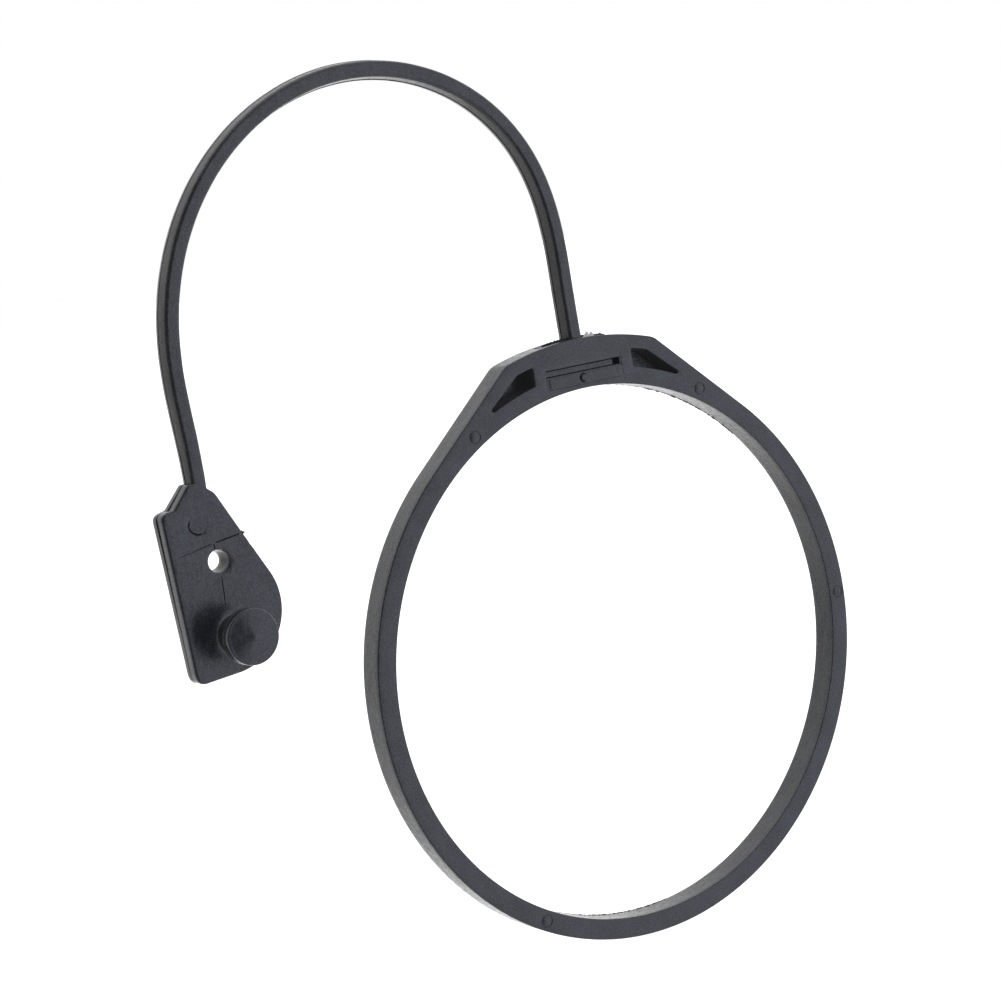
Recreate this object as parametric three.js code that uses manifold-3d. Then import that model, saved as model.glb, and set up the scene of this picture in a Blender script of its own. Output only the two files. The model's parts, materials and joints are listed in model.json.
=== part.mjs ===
// Filler-cap retaining strap: a flat cap ring with a thickened head, and a flexible tether that plugs
// into the head, loops over to the left and ends in a flat plate with a push-in plug.
//
// Frame: millimetres, +Z up along the head's centre line, -Y towards the side the plug stands out of.
// The origin is on the ring's back face, in the middle of the ring's width at its lowest point.
//
// Every piece is drawn in the moulding's own frame: x to the right, y up, z forwards out of the back
// face, with (x, y) = (0, 0) on the ring's axis. Two nested groups at the end stand it upright.
//
// The real strap bends. Here it is a row of short rigid links with a narrow gap at each bend line.

import * as THREE from "three";
import { mergeVertices } from "three/addons/utils/BufferGeometryUtils.js";
import Module from "manifold-3d";

// ---------------------------------------------------------------- dimensions (mm, degrees)
// Names ending in _X, _Y or _Z are places in the moulding's frame.
// Names ending in _AT are distances along the strap from the head's crown.

// cap ring
const RING_INNER_R = 32.5;
const RING_OUTER_R = 35.0;
const RING_DEPTH = 3.4;
const BORE_FACETS = 132;
const RING_OUTER_STEPS = BORE_FACETS - 30; // the ring's outside, up to the shoulders

// head on the ring
const HEAD_R = 38.5; // crown arc, about the ring's axis
const CROWN_STEPS = 12;
const SHOULDER_TANGENT_DEG = 41.2; // where the straight shoulders meet the ring, from centre line
const SHOULDER_FILLET_R = 2.5;
const SHOULDER_FILLET_STEPS = 4;

// how far the cutters run past the faces they open
const CUT_PAST_FRONT = 1;
const CUT_PAST_CROWN = 2;

// two blind pockets, mirrored about the head's centre line; these values are for the right one
const POCKET_FLOOR = 0.5; // material left behind each pocket
const POCKET_ROOF_R = 36.85;
const POCKET_SILL_R = 34.6;
const POCKET_INNER_X = 7.25;
const POCKET_SILL_X = [POCKET_INNER_X, 9.4, 11.5, 13.55]; // corners along the sill arc
const POCKET_TIP = [13.85, 32.22];
const POCKET_TIP_CHAMFER = [0.06, -0.2]; // from the tip to the next corner, towards the sill
const POCKET_ROOF_X = [9.6, 8.4, POCKET_INNER_X]; // corners along the roof arc

// slot that takes the tether's foot, open at the crown
const SLOT_HALF_WIDTH = 5.3;
const SLOT_FLOOR_Y = 33.0;
const SLOT_BACK_Z = 0.9;
const SLOT_FRONT_Z = 2.5;

// window in the head's front face, cut through into the slot
const WINDOW_HALF_WIDTH = 5.6;
const WINDOW_TOP_Y = 35.45;
const WINDOW_BACK_Z = SLOT_FRONT_Z - 0.4;

// tether: depth of its layers above the ring's back face
const TETHER_FRONT_Z = 2.55; // front of the strap and of the plate
const STRAP_BACK_Z = 0.7;
const PLATE_BACK_Z = 0.35;

// strap section: a wide back flange and a narrower rounded front rib
const FLANGE_HALF_WIDTH = 1.12;
const FLANGE_DEPTH = 0.55;
const RIB_HALF_WIDTH = 1.04;
const RIB_CORNER_R = 0.5;
const RIB_CORNER_STEPS = 4;

// strap centre line: equal steps of constant curvature, each with its turn to the left
const STRAP_START = [0, HEAD_R];
const STRAP_START_HEADING_DEG = 91.2;
const STRAP_LENGTH = 106.586;
const STRAP_TURNS_DEG = [
  0.64, 0.47, 6.89, 13.37, 15.01, 14.26, 13.15, 12.12, 11.77, 11.58, 11.02,
  10.62, 10.44, 10.45, 10.41, 10.04, 9.85, 8.14, 2.33, -3.66,
];
const STRAP_STEP = STRAP_LENGTH / STRAP_TURNS_DEG.length;

// bend lines between the rigid links, and the fixed stubs at both ends of the strap
const LINK_COUNT = 20;
const LINK_STEPS = 4;
const FIRST_BEND_AT = 1.25;
const LAST_BEND_AT = STRAP_LENGTH - 0.6;
const LINK_PITCH = (LAST_BEND_AT - FIRST_BEND_AT) / LINK_COUNT;
const HALF_GAP = 0.5 / 2;
const FOOT_STUB_START_AT = 0.35;
const PLATE_STUB_END_AT = STRAP_LENGTH + 0.4;

// foot of the tether: a tongue in the slot, with a bar and a ledge in the window
const FOOT_CLEARANCE = 0.3; // to the slot and to the window
const FOOT_HALF_WIDTH = SLOT_HALF_WIDTH - FOOT_CLEARANCE;
const FOOT_BACK_Z = SLOT_BACK_Z + FOOT_CLEARANCE;
const FOOT_FRONT_Z = SLOT_FRONT_Z - FOOT_CLEARANCE;
const FOOT_TOE_Y = SLOT_FLOOR_Y + FOOT_CLEARANCE;
const FOOT_CROWN_R = HEAD_R + 0.25;
const FOOT_CROWN_STEPS = 8;
const BAR_HALF_WIDTH = WINDOW_HALF_WIDTH - FOOT_CLEARANCE;
const BAR_TOP_Y = 34.15;
const BAR_BACK_Z = FOOT_FRONT_Z + 0.45;
const BAR_FRONT_Z = 3.45;
const LEDGE_RIGHT_X = 3.9;
const LEDGE_TOP_Y = WINDOW_TOP_Y - FOOT_CLEARANCE;
const LEDGE_BACK_Z = FOOT_FRONT_Z - 0.2;
const LEDGE_FRONT_Z = 2.9;
const NECK_HALF_WIDTH = 0.85; // neck between the tongue and the strap
const NECK_BOTTOM_Y = FOOT_CROWN_R - 1.5;
const NECK_TOP_Y = HEAD_R + 0.6;

// end plate: (x, y) corners down its left edge, a round lobe, then corners up its right edge
const PLATE_LEFT_EDGE = [
  [-53.4, 31.05], [-55.6, 28.65], [-56.3, 28.6], [-56.85, 28.4], [-57.12, 28.06],
  [-57.16, 27.7], [-56.36, 10.35], [-56.2, 9.72], [-55.85, 9.35], [-55.3, 9.22],
];
const PLATE_LOBE = { x: -51.5, y: 16.5, radius: 7.0, fromDeg: -86, toDeg: 26.6, steps: 18 };
const PLATE_RIGHT_EDGE = [
  [-47.85, 24.7], [-50.22, 29.4], [-50.42, 29.68], [-51.2, 30.3], [-51.25, 31.05],
];
const PLATE_HOLE = { x: -51.34, y: 22.1, radius: 1.35, facets: 36 };

// mushroom plug
const PLUG = { x: -51.15, y: 14.0 };
const PLUG_ROOT_Z = PLATE_BACK_Z + 0.6; // its lower end, buried in the plate
const PLUG_NECK_R = 2.0;
const PLUG_BASE_FILLET_R = 0.75;
const PLUG_BASE_FILLET_STEPS = 4;
const PLUG_NECK_FLARE = 0.35; // 45 degree flare where the neck meets the head
const PLUG_HEAD_R = 3.15;
const PLUG_HEAD_DEPTH = 1.5;
const PLUG_HEAD_CHAMFER = 0.15;
const PLUG_HEIGHT = 5.0; // of the head's rim above the plate's front face
const PLUG_CONE_HEIGHT = 0.6; // low point on the head's end
const PLUG_FACETS = 48;

// ---------------------------------------------------------------- solids and outlines

const MERGE_TOLERANCE = 1e-4;

const wasm = await Module();
wasm.setup();

// A closed geometry as a solid, with its shared corners merged. One that is inside out is turned.
function solid(geometry) {
  geometry.deleteAttribute("normal");
  geometry.deleteAttribute("uv");
  const merged = mergeVertices(geometry, MERGE_TOLERANCE);
  const vertProperties = merged.attributes.position.array;
  const triVerts = new Uint32Array(merged.index.array);
  const build = () =>
    new wasm.Manifold(new wasm.Mesh({ numProp: 3, vertProperties, triVerts }));
  const built = build();
  if (built.volume() >= 0) return built;
  for (let i = 0; i < triVerts.length; i += 3)
    [triVerts[i + 1], triVerts[i + 2]] = [triVerts[i + 2], triVerts[i + 1]];
  return build();
}

// A solid as a flat-shaded geometry.
function geometryOf(body) {
  const { vertProperties, triVerts } = body.getMesh();
  const indexed = new THREE.BufferGeometry();
  indexed.setAttribute("position", new THREE.BufferAttribute(vertProperties, 3));
  indexed.setIndex(new THREE.BufferAttribute(triVerts, 1));
  const flat = indexed.toNonIndexed();
  flat.computeVertexNormals();
  return flat;
}

const vectors = (points) => points.map(([x, y]) => new THREE.Vector2(x, y));

// An outline in the (x, y) plane, raised between two depths.
function slab(points, [backZ, frontZ], holes = []) {
  const shape = new THREE.Shape(vectors(points));
  for (const hole of holes) shape.holes.push(new THREE.Path(vectors(hole)));
  const geometry = new THREE.ExtrudeGeometry(shape, {
    depth: frontZ - backZ,
    bevelEnabled: false,
    steps: 1,
  });
  geometry.translate(0, 0, backZ);
  return solid(geometry);
}

// A box between two values on each axis.
function block(...ranges) {
  const geometry = new THREE.BoxGeometry(...ranges.map(([low, high]) => high - low));
  geometry.translate(...ranges.map(([low, high]) => (low + high) / 2));
  return solid(geometry);
}

const centred = (halfWidth) => [-halfWidth, halfWidth];

const radians = (deg) => (deg * Math.PI) / 180;
const degrees = (angle) => (angle * 180) / Math.PI;

// Points of an arc about a centre, between two angles counted anticlockwise from +x.
function arc(centreX, centreY, radius, fromDeg, toDeg, steps, skipLast = false) {
  const points = [];
  for (let i = 0; i <= steps - (skipLast ? 1 : 0); i++) {
    const angle = radians(fromDeg + ((toDeg - fromDeg) * i) / steps);
    points.push([centreX + radius * Math.cos(angle), centreY + radius * Math.sin(angle)]);
  }
  return points;
}

// A round hole's outline, clockwise.
const roundHole = (x, y, radius, facets) =>
  arc(x, y, radius, 0, 360, facets, true).reverse();

// ---------------------------------------------------------------- cap ring

// The ring's outside with the head on top, anticlockwise from the left shoulder's foot.
function ringOutline() {
  const tangent = SHOULDER_TANGENT_DEG;
  const fillet = SHOULDER_FILLET_R;
  const steps = SHOULDER_FILLET_STEPS;
  // the fillet's centre lies its radius inside both the crown arc and the shoulder line
  const centreR = HEAD_R - fillet;
  const crownEnd = tangent - degrees(Math.acos((RING_OUTER_R - fillet) / centreR));
  const centreX = centreR * Math.sin(radians(crownEnd));
  const centreY = centreR * Math.cos(radians(crownEnd));
  return [
    ...arc(0, 0, RING_OUTER_R, 90 + tangent, 450 - tangent, RING_OUTER_STEPS),
    ...arc(centreX, centreY, fillet, 90 - tangent, 90 - crownEnd, steps, true),
    ...arc(0, 0, HEAD_R, 90 - crownEnd, 90 + crownEnd, CROWN_STEPS, true),
    ...arc(-centreX, centreY, fillet, 90 + crownEnd, 90 + tangent, steps),
  ];
}

// A pocket's outline, anticlockwise: side is 1 for the right pocket and -1 for the left.
function pocketOutline(side) {
  const onArc = (radius) => (x) => [x, Math.sqrt(radius * radius - x * x)];
  const [tipX, tipY] = POCKET_TIP;
  const points = [
    ...POCKET_SILL_X.map(onArc(POCKET_SILL_R)),
    [tipX + POCKET_TIP_CHAMFER[0], tipY + POCKET_TIP_CHAMFER[1]],
    POCKET_TIP,
    ...POCKET_ROOF_X.map(onArc(POCKET_ROOF_R)),
  ];
  return side > 0 ? points : points.map(([x, y]) => [-x, y]).reverse();
}

function capRing() {
  const pastFront = RING_DEPTH + CUT_PAST_FRONT;
  const bore = roundHole(0, 0, RING_INNER_R, BORE_FACETS);
  const slot = block(
    centred(SLOT_HALF_WIDTH),
    [SLOT_FLOOR_Y, HEAD_R + CUT_PAST_CROWN],
    [SLOT_BACK_Z, SLOT_FRONT_Z],
  );
  const frontWindow = block(
    centred(WINDOW_HALF_WIDTH),
    [SLOT_FLOOR_Y, WINDOW_TOP_Y],
    [WINDOW_BACK_Z, pastFront],
  );
  let body = slab(ringOutline(), [0, RING_DEPTH], [bore]);
  for (const side of [-1, 1])
    body = body.subtract(slab(pocketOutline(side), [POCKET_FLOOR, pastFront]));
  return geometryOf(body.subtract(slot).subtract(frontWindow));
}

// ---------------------------------------------------------------- strap

// Position and heading of the strap's centre line at a distance from the head's crown.
function strapAt(distance) {
  let [x, y] = STRAP_START;
  let heading = radians(STRAP_START_HEADING_DEG);
  let remaining = distance;
  for (let i = 0; i < STRAP_TURNS_DEG.length && remaining > 0; i++) {
    const last = i === STRAP_TURNS_DEG.length - 1;
    const run = last ? remaining : Math.min(remaining, STRAP_STEP);
    // for a place beyond the strap's end, the whole last step is taken straight
    const turn = run > STRAP_STEP ? 0 : (radians(STRAP_TURNS_DEG[i]) * run) / STRAP_STEP;
    const chord = Math.abs(turn) < 1e-9 ? run : (2 * run * Math.sin(turn / 2)) / turn;
    x += chord * Math.cos(heading + turn / 2);
    y += chord * Math.sin(heading + turn / 2);
    heading += turn;
    remaining -= run;
  }
  return { x, y, heading };
}

// A stretch of the centre line as a curve whose frames keep the section upright in z.
class StrapRun extends THREE.Curve {
  constructor(start, end) {
    super();
    this.start = start;
    this.end = end;
  }
  placeAt(fraction) {
    return strapAt(this.start + (this.end - this.start) * fraction);
  }
  getPoint(fraction, target = new THREE.Vector3()) {
    const { x, y } = this.placeAt(fraction);
    return target.set(x, y, 0);
  }
  computeFrenetFrames(segments) {
    const frames = { tangents: [], normals: [], binormals: [] };
    for (let i = 0; i <= segments; i++) {
      const { heading } = this.placeAt(i / segments);
      const cos = Math.cos(heading);
      const sin = Math.sin(heading);
      frames.tangents.push(new THREE.Vector3(cos, sin, 0));
      frames.normals.push(new THREE.Vector3(-sin, cos, 0));
      frames.binormals.push(new THREE.Vector3(0, 0, 1));
    }
    return frames;
  }
}

// The strap's section: x across the strap, y forwards.
function strapSection() {
  const flangeFront = STRAP_BACK_Z + FLANGE_DEPTH;
  const radius = RIB_CORNER_R;
  const cornerX = RIB_HALF_WIDTH - radius;
  const cornerY = TETHER_FRONT_Z - radius;
  return new THREE.Shape(
    vectors([
      [-FLANGE_HALF_WIDTH, STRAP_BACK_Z],
      [FLANGE_HALF_WIDTH, STRAP_BACK_Z],
      [FLANGE_HALF_WIDTH, flangeFront],
      [RIB_HALF_WIDTH, flangeFront],
      ...arc(cornerX, cornerY, radius, 0, 90, RIB_CORNER_STEPS),
      ...arc(-cornerX, cornerY, radius, 90, 180, RIB_CORNER_STEPS),
      [-RIB_HALF_WIDTH, flangeFront],
      [-FLANGE_HALF_WIDTH, flangeFront],
    ]),
  );
}

// The section swept along the centre line between two distances.
function strapRun(start, end, steps) {
  return solid(
    new THREE.ExtrudeGeometry(strapSection(), {
      extrudePath: new StrapRun(start, end),
      steps,
      bevelEnabled: false,
    }),
  );
}

function strapLink(index) {
  const start = FIRST_BEND_AT + LINK_PITCH * index + HALF_GAP;
  const end = FIRST_BEND_AT + LINK_PITCH * (index + 1) - HALF_GAP;
  return geometryOf(strapRun(start, end, LINK_STEPS));
}

// ---------------------------------------------------------------- foot in the head's slot

function strapFoot() {
  const halfAngle = degrees(Math.asin(FOOT_HALF_WIDTH / FOOT_CROWN_R));
  const tongue = slab(
    [
      [-FOOT_HALF_WIDTH, FOOT_TOE_Y],
      [FOOT_HALF_WIDTH, FOOT_TOE_Y],
      ...arc(0, 0, FOOT_CROWN_R, 90 - halfAngle, 90 + halfAngle, FOOT_CROWN_STEPS),
    ],
    [FOOT_BACK_Z, FOOT_FRONT_Z],
  );
  const bar = block(
    centred(BAR_HALF_WIDTH),
    [FOOT_TOE_Y, BAR_TOP_Y],
    [BAR_BACK_Z, BAR_FRONT_Z],
  );
  const ledge = block(
    [-FOOT_HALF_WIDTH, LEDGE_RIGHT_X],
    [FOOT_TOE_Y, LEDGE_TOP_Y],
    [LEDGE_BACK_Z, LEDGE_FRONT_Z],
  );
  const neck = block(
    centred(NECK_HALF_WIDTH),
    [NECK_BOTTOM_Y, NECK_TOP_Y],
    [FOOT_BACK_Z, FOOT_FRONT_Z],
  );
  const stub = strapRun(FOOT_STUB_START_AT, FIRST_BEND_AT - HALF_GAP, 1);
  return geometryOf(tongue.add(bar).add(ledge).add(neck).add(stub));
}

// ---------------------------------------------------------------- end plate and plug

function plateOutline() {
  const { x, y, radius, fromDeg, toDeg, steps } = PLATE_LOBE;
  return [
    ...PLATE_LEFT_EDGE,
    ...arc(x, y, radius, fromDeg, toDeg, steps),
    ...PLATE_RIGHT_EDGE,
  ];
}

// Turned from a profile of (radius, z) points, from the root up to the head's end.
function plug() {
  const top = TETHER_FRONT_Z + PLUG_HEIGHT;
  const under = top - PLUG_HEAD_DEPTH;
  const fillet = PLUG_BASE_FILLET_R;
  const baseR = PLUG_NECK_R + fillet;
  const chamfer = PLUG_HEAD_CHAMFER;
  const profile = [
    [0, PLUG_ROOT_Z],
    [baseR, PLUG_ROOT_Z],
    ...arc(baseR, TETHER_FRONT_Z + fillet, fillet, 270, 180, PLUG_BASE_FILLET_STEPS),
    [PLUG_NECK_R, under - PLUG_NECK_FLARE],
    [PLUG_NECK_R + PLUG_NECK_FLARE, under],
    [PLUG_HEAD_R - chamfer, under],
    [PLUG_HEAD_R, under + chamfer],
    [PLUG_HEAD_R, top - chamfer],
    [PLUG_HEAD_R - chamfer, top],
    [0, top + PLUG_CONE_HEIGHT],
  ];
  const geometry = new THREE.LatheGeometry(vectors(profile), PLUG_FACETS);
  geometry.rotateX(Math.PI / 2);
  geometry.translate(PLUG.x, PLUG.y, 0);
  return solid(geometry);
}

function endPlate() {
  const hole = roundHole(PLATE_HOLE.x, PLATE_HOLE.y, PLATE_HOLE.radius, PLATE_HOLE.facets);
  const plate = slab(plateOutline(), [PLATE_BACK_Z, TETHER_FRONT_Z], [hole]);
  const stub = strapRun(LAST_BEND_AT + HALF_GAP, PLATE_STUB_END_AT, 1);
  return geometryOf(plate.add(stub).add(plug()));
}

// ---------------------------------------------------------------- materials and scene graph

const ringPlastic = () =>
  new THREE.MeshStandardMaterial({ color: 0x44464b, roughness: 0.55, metalness: 0 });

const tetherPlastic = () =>
  new THREE.MeshStandardMaterial({ color: 0x414247, roughness: 0.5, metalness: 0 });

function named(name, geometry, material) {
  const mesh = new THREE.Mesh(geometry, material);
  mesh.name = name;
  return mesh;
}

const tether = new THREE.Group();
tether.add(named("strap_foot", strapFoot(), tetherPlastic()));
for (let i = 0; i < LINK_COUNT; i++) {
  const number = String(i + 1).padStart(2, "0");
  tether.add(named(`strap_link_${number}`, strapLink(i), tetherPlastic()));
}
tether.add(named("end_plate", endPlate(), tetherPlastic()));

const moulding = new THREE.Group(); // raised so the middle of the ring's lowest part is at y = 0
moulding.position.set(0, (RING_INNER_R + RING_OUTER_R) / 2, 0);
moulding.add(named("cap_ring", capRing(), ringPlastic()));
moulding.add(tether);

const upright = new THREE.Group(); // x stays +X, y becomes +Z and z becomes -Y
upright.rotation.x = Math.PI / 2;
upright.add(moulding);

const model = new THREE.Group();
model.name = "filler_cap_retaining_strap";
model.add(upright);

export default model;
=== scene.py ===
# A cap ring of black moulded plastic, tied by a strap to an end plate that carries a mushroom plug.
# The ring stands upright with its axis along Y and its front towards -Y. The strap rises from the
# head at the ring's top and bends over to the end plate at its left (-X).
import json
import math

import bmesh
import bpy
import numpy as np
from mathutils import Matrix, Vector, noise
from mathutils.geometry import delaunay_2d_cdt
from mathutils.kdtree import KDTree

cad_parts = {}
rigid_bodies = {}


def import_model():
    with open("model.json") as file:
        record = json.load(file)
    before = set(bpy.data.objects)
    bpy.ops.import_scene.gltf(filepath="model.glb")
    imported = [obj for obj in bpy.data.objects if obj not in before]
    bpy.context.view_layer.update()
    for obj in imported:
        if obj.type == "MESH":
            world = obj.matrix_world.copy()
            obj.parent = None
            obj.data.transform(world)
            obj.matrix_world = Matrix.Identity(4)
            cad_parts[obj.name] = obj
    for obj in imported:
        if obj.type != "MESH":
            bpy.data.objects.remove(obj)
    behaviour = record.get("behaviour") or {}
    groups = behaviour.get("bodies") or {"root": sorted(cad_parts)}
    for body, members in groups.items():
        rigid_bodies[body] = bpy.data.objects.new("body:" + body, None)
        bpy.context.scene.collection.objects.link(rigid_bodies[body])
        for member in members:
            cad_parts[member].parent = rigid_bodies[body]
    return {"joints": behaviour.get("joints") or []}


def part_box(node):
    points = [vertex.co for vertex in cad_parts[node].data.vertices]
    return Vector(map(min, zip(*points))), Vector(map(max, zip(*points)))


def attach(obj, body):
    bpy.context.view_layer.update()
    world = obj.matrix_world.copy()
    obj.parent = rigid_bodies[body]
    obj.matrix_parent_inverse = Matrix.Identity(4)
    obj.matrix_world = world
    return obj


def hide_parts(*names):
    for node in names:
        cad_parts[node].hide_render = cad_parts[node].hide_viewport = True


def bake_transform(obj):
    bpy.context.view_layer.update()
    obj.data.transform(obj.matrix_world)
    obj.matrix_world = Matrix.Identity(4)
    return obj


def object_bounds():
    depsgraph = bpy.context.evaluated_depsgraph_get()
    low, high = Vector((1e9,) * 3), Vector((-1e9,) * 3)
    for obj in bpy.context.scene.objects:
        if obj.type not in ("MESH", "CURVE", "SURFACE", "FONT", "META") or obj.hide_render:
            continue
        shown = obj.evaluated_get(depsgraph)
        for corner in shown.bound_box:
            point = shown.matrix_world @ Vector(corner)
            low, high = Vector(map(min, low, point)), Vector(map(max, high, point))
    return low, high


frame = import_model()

# ---------------------------------------------------------------- the moulding's own frame
# Pieces are drawn in millimetres in the moulding's frame: x right, y up and z forwards out of the
# ring's back face, with (0, 0) on the ring's axis. Forwards is -Y in the world.

MM_PER_M = 1000.0
CAD_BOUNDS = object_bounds()

ring_low, ring_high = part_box("cap_ring")
OUTER_R = (ring_high.x - ring_low.x) * MM_PER_M / 2
DEPTH = (ring_high.y - ring_low.y) * MM_PER_M
AXIS_X = (ring_high.x + ring_low.x) * MM_PER_M / 2
AXIS_Z = ring_low.z * MM_PER_M + OUTER_R
CROWN_R = ring_high.z * MM_PER_M - AXIS_Z
BACK_Y = ring_high.y * MM_PER_M
RING_WIDTH = 2.5
INNER_R = OUTER_R - RING_WIDTH

plate_low, plate_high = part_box("end_plate")
PLUG_POINT = 0.6  # height of the plug's pointed end above its rim
PLUG_RIM = BACK_Y - plate_low.y * MM_PER_M - PLUG_POINT
PLATE_BACK = BACK_Y - plate_high.y * MM_PER_M


def world(point):
    x, y, z = point
    return ((x + AXIS_X) / MM_PER_M, (BACK_Y - z) / MM_PER_M, (y + AXIS_Z) / MM_PER_M)


def jitter(x, y, z=0.0, scale=1.0):
    return noise.noise(Vector((x * scale, y * scale, z * scale)))


def fraction(value, start, length):
    """How far value has gone from start over length, held within 0 to 1."""
    return min(1.0, max(0.0, (value - start) / length))


def smoothstep(t):
    return t * t * (3 - 2 * t)


# ---------------------------------------------------------------- outline tools


def arc(centre_x, centre_y, radius, start, end, count, last=True):
    """Points on an arc between two angles in degrees."""
    points = []
    for i in range(count + (1 if last else 0)):
        angle = math.radians(start + (end - start) * i / count)
        points.append((centre_x + radius * math.cos(angle), centre_y + radius * math.sin(angle)))
    return points


def unit_circle(count):
    return np.array(arc(0, 0, 1.0, 0, 360, count, last=False))


def box_outline(x0, x1, y0, y1):
    return [(x0, y0), (x1, y0), (x1, y1), (x0, y1)]


def resample(points, step, count=None):
    """A closed outline with evenly spaced points."""
    corners = np.array(points, float)
    closed = np.vstack([corners, corners[:1]])
    lengths = np.hypot(*(closed[1:] - closed[:-1]).T)
    along = np.concatenate([[0], np.cumsum(lengths)])
    count = count or max(8, int(round(along[-1] / step)))
    k = np.arange(count)
    wanted = k * along[-1] / count
    even = np.stack([np.interp(wanted, along, closed[:, axis]) for axis in (0, 1)], 1)
    # under a micrometre of unevenness, so that no three points of a straight stretch are in line
    return even + 0.0004 * np.stack([np.sin(k * 2.399), np.cos(k * 1.713)], 1)


def soften(points, sigma, step):
    """Rounds an evenly spaced closed outline's corners with a small Gaussian blur along it."""
    reach = int(math.ceil(3 * sigma / step))
    offsets = np.arange(-reach, reach + 1)
    weights = np.exp(-0.5 * (offsets * step / sigma) ** 2)
    weights /= weights.sum()
    blurred = np.zeros_like(points)
    for offset, weight in zip(offsets, weights):
        blurred += weight * np.roll(points, offset, axis=0)
    return blurred


def area(outline):
    x, y = outline[:, 0], outline[:, 1]
    return 0.5 * np.sum(x * np.roll(y, -1) - np.roll(x, -1) * y)


def outward(outline):
    """Outward unit normals of a closed outline."""
    tangents = np.roll(outline, -1, axis=0) - np.roll(outline, 1, axis=0)
    tangents /= np.linalg.norm(tangents, axis=1)[:, None]
    normals = np.stack([tangents[:, 1], -tangents[:, 0]], 1)
    return normals if area(outline) > 0 else -normals


def soft_outline(points, step, blur, count=None):
    """An evenly spaced outline with softened corners, and its outward normals."""
    outline = soften(resample(points, step, count), blur, step)
    return outline, outward(outline)


def inside(points, outline):
    """Which points lie inside a closed outline, by counting crossings."""
    x, y = points[:, 0][:, None], points[:, 1][:, None]
    a, b = outline, np.roll(outline, -1, axis=0)
    spans = (a[:, 1] > y) != (b[:, 1] > y)
    with np.errstate(divide="ignore", invalid="ignore"):
        crossing = (b[:, 0] - a[:, 0]) * (y - a[:, 1]) / (b[:, 1] - a[:, 1]) + a[:, 0]
    return (np.sum(spans & (x < crossing), axis=1) % 2) == 1


def roundover(outline, normals, radius, face_z, hole=False, back=False, segments=4):
    """Rows (outline, z) round a rim, from the flat face to the wall.

    The face lies inside the outline, or outside it for a hole. It faces forwards unless back.
    """
    sign = 1.0 if hole else -1.0
    rows = []
    for k in range(segments + 1):
        angle = math.pi / 2 * k / segments
        inset = radius * (1 - math.sin(angle))
        drop = radius * (1 - math.cos(angle))
        rows.append((outline + normals * sign * inset, face_z + drop if back else face_z - drop))
    return rows


# ---------------------------------------------------------------- mesh builder


def triangular_grid(outline, pitch):
    """Staggered rows of points over an outline's bounding box."""
    low, high = outline.min(0), outline.max(0)
    points = []
    y = low[1]
    odd = False
    while y < high[1]:
        x = low[0] + (pitch / 2 if odd else 0)
        while x < high[0]:
            points.append((x, y))
            x += pitch
        y += pitch * 0.866
        odd = not odd
    return np.array(points)


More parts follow.
